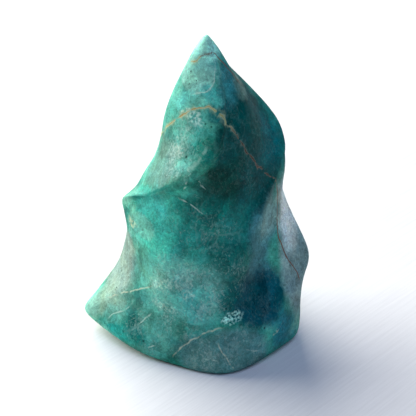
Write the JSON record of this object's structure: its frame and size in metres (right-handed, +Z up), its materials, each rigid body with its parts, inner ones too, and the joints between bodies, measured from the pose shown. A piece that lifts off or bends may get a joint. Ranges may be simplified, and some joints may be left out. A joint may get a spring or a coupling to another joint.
{
  "type": "polished amazonite flame",
  "caption": "Polished amazonite stone ground into a twisting flame with a pointed tip, standing on a small flat foot.",
  "frame": {"origin": "middle of the bounding box, on the flat foot the stone rests on", "axes": "+Z up, from the foot to the tip; +X to the right of the pictured side, which faces -Y"},
  "size_m": [0.0712, 0.0543, 0.0982],
  "materials": {
    "amazonite": "polished stone"
  },
  "bodies": {
    "root": {"flame_stone": "amazonite"}
  },
  "joints": []
}
